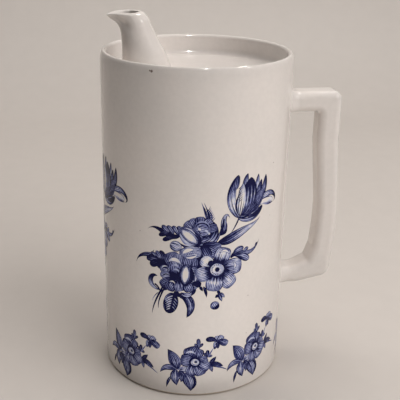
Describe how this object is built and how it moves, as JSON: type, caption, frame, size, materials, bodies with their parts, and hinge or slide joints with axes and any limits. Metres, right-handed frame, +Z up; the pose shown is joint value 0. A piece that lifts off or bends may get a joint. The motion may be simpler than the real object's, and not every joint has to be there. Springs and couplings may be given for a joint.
{
  "type": "olive oil pitcher",
  "caption": "Tall straight glazed ceramic oil jug with a sunken closed deck, a small beaked spout standing on the deck and a squared loop handle.",
  "frame": {"origin": "middle of the overall length and width, on the plane the foot ring rests on; the body's axis stands 16.1 mm toward -X of it", "axes": "+Z up, +X toward the handle, -X toward the spout"},
  "size_m": [0.1361, 0.104, 0.204],
  "materials": {
    "body_glaze": "glossy warm off-white glaze with blue underglaze flower sprays, bare foot ring",
    "deck_glaze": "glossy warm off-white glaze",
    "spout_glaze": "glossy warm off-white glaze",
    "handle_glaze": "glossy warm off-white glaze"
  },
  "bodies": {
    "root": {"jug_body": "body_glaze", "deck": "deck_glaze", "spout": "spout_glaze", "handle": "handle_glaze"}
  },
  "joints": []
}
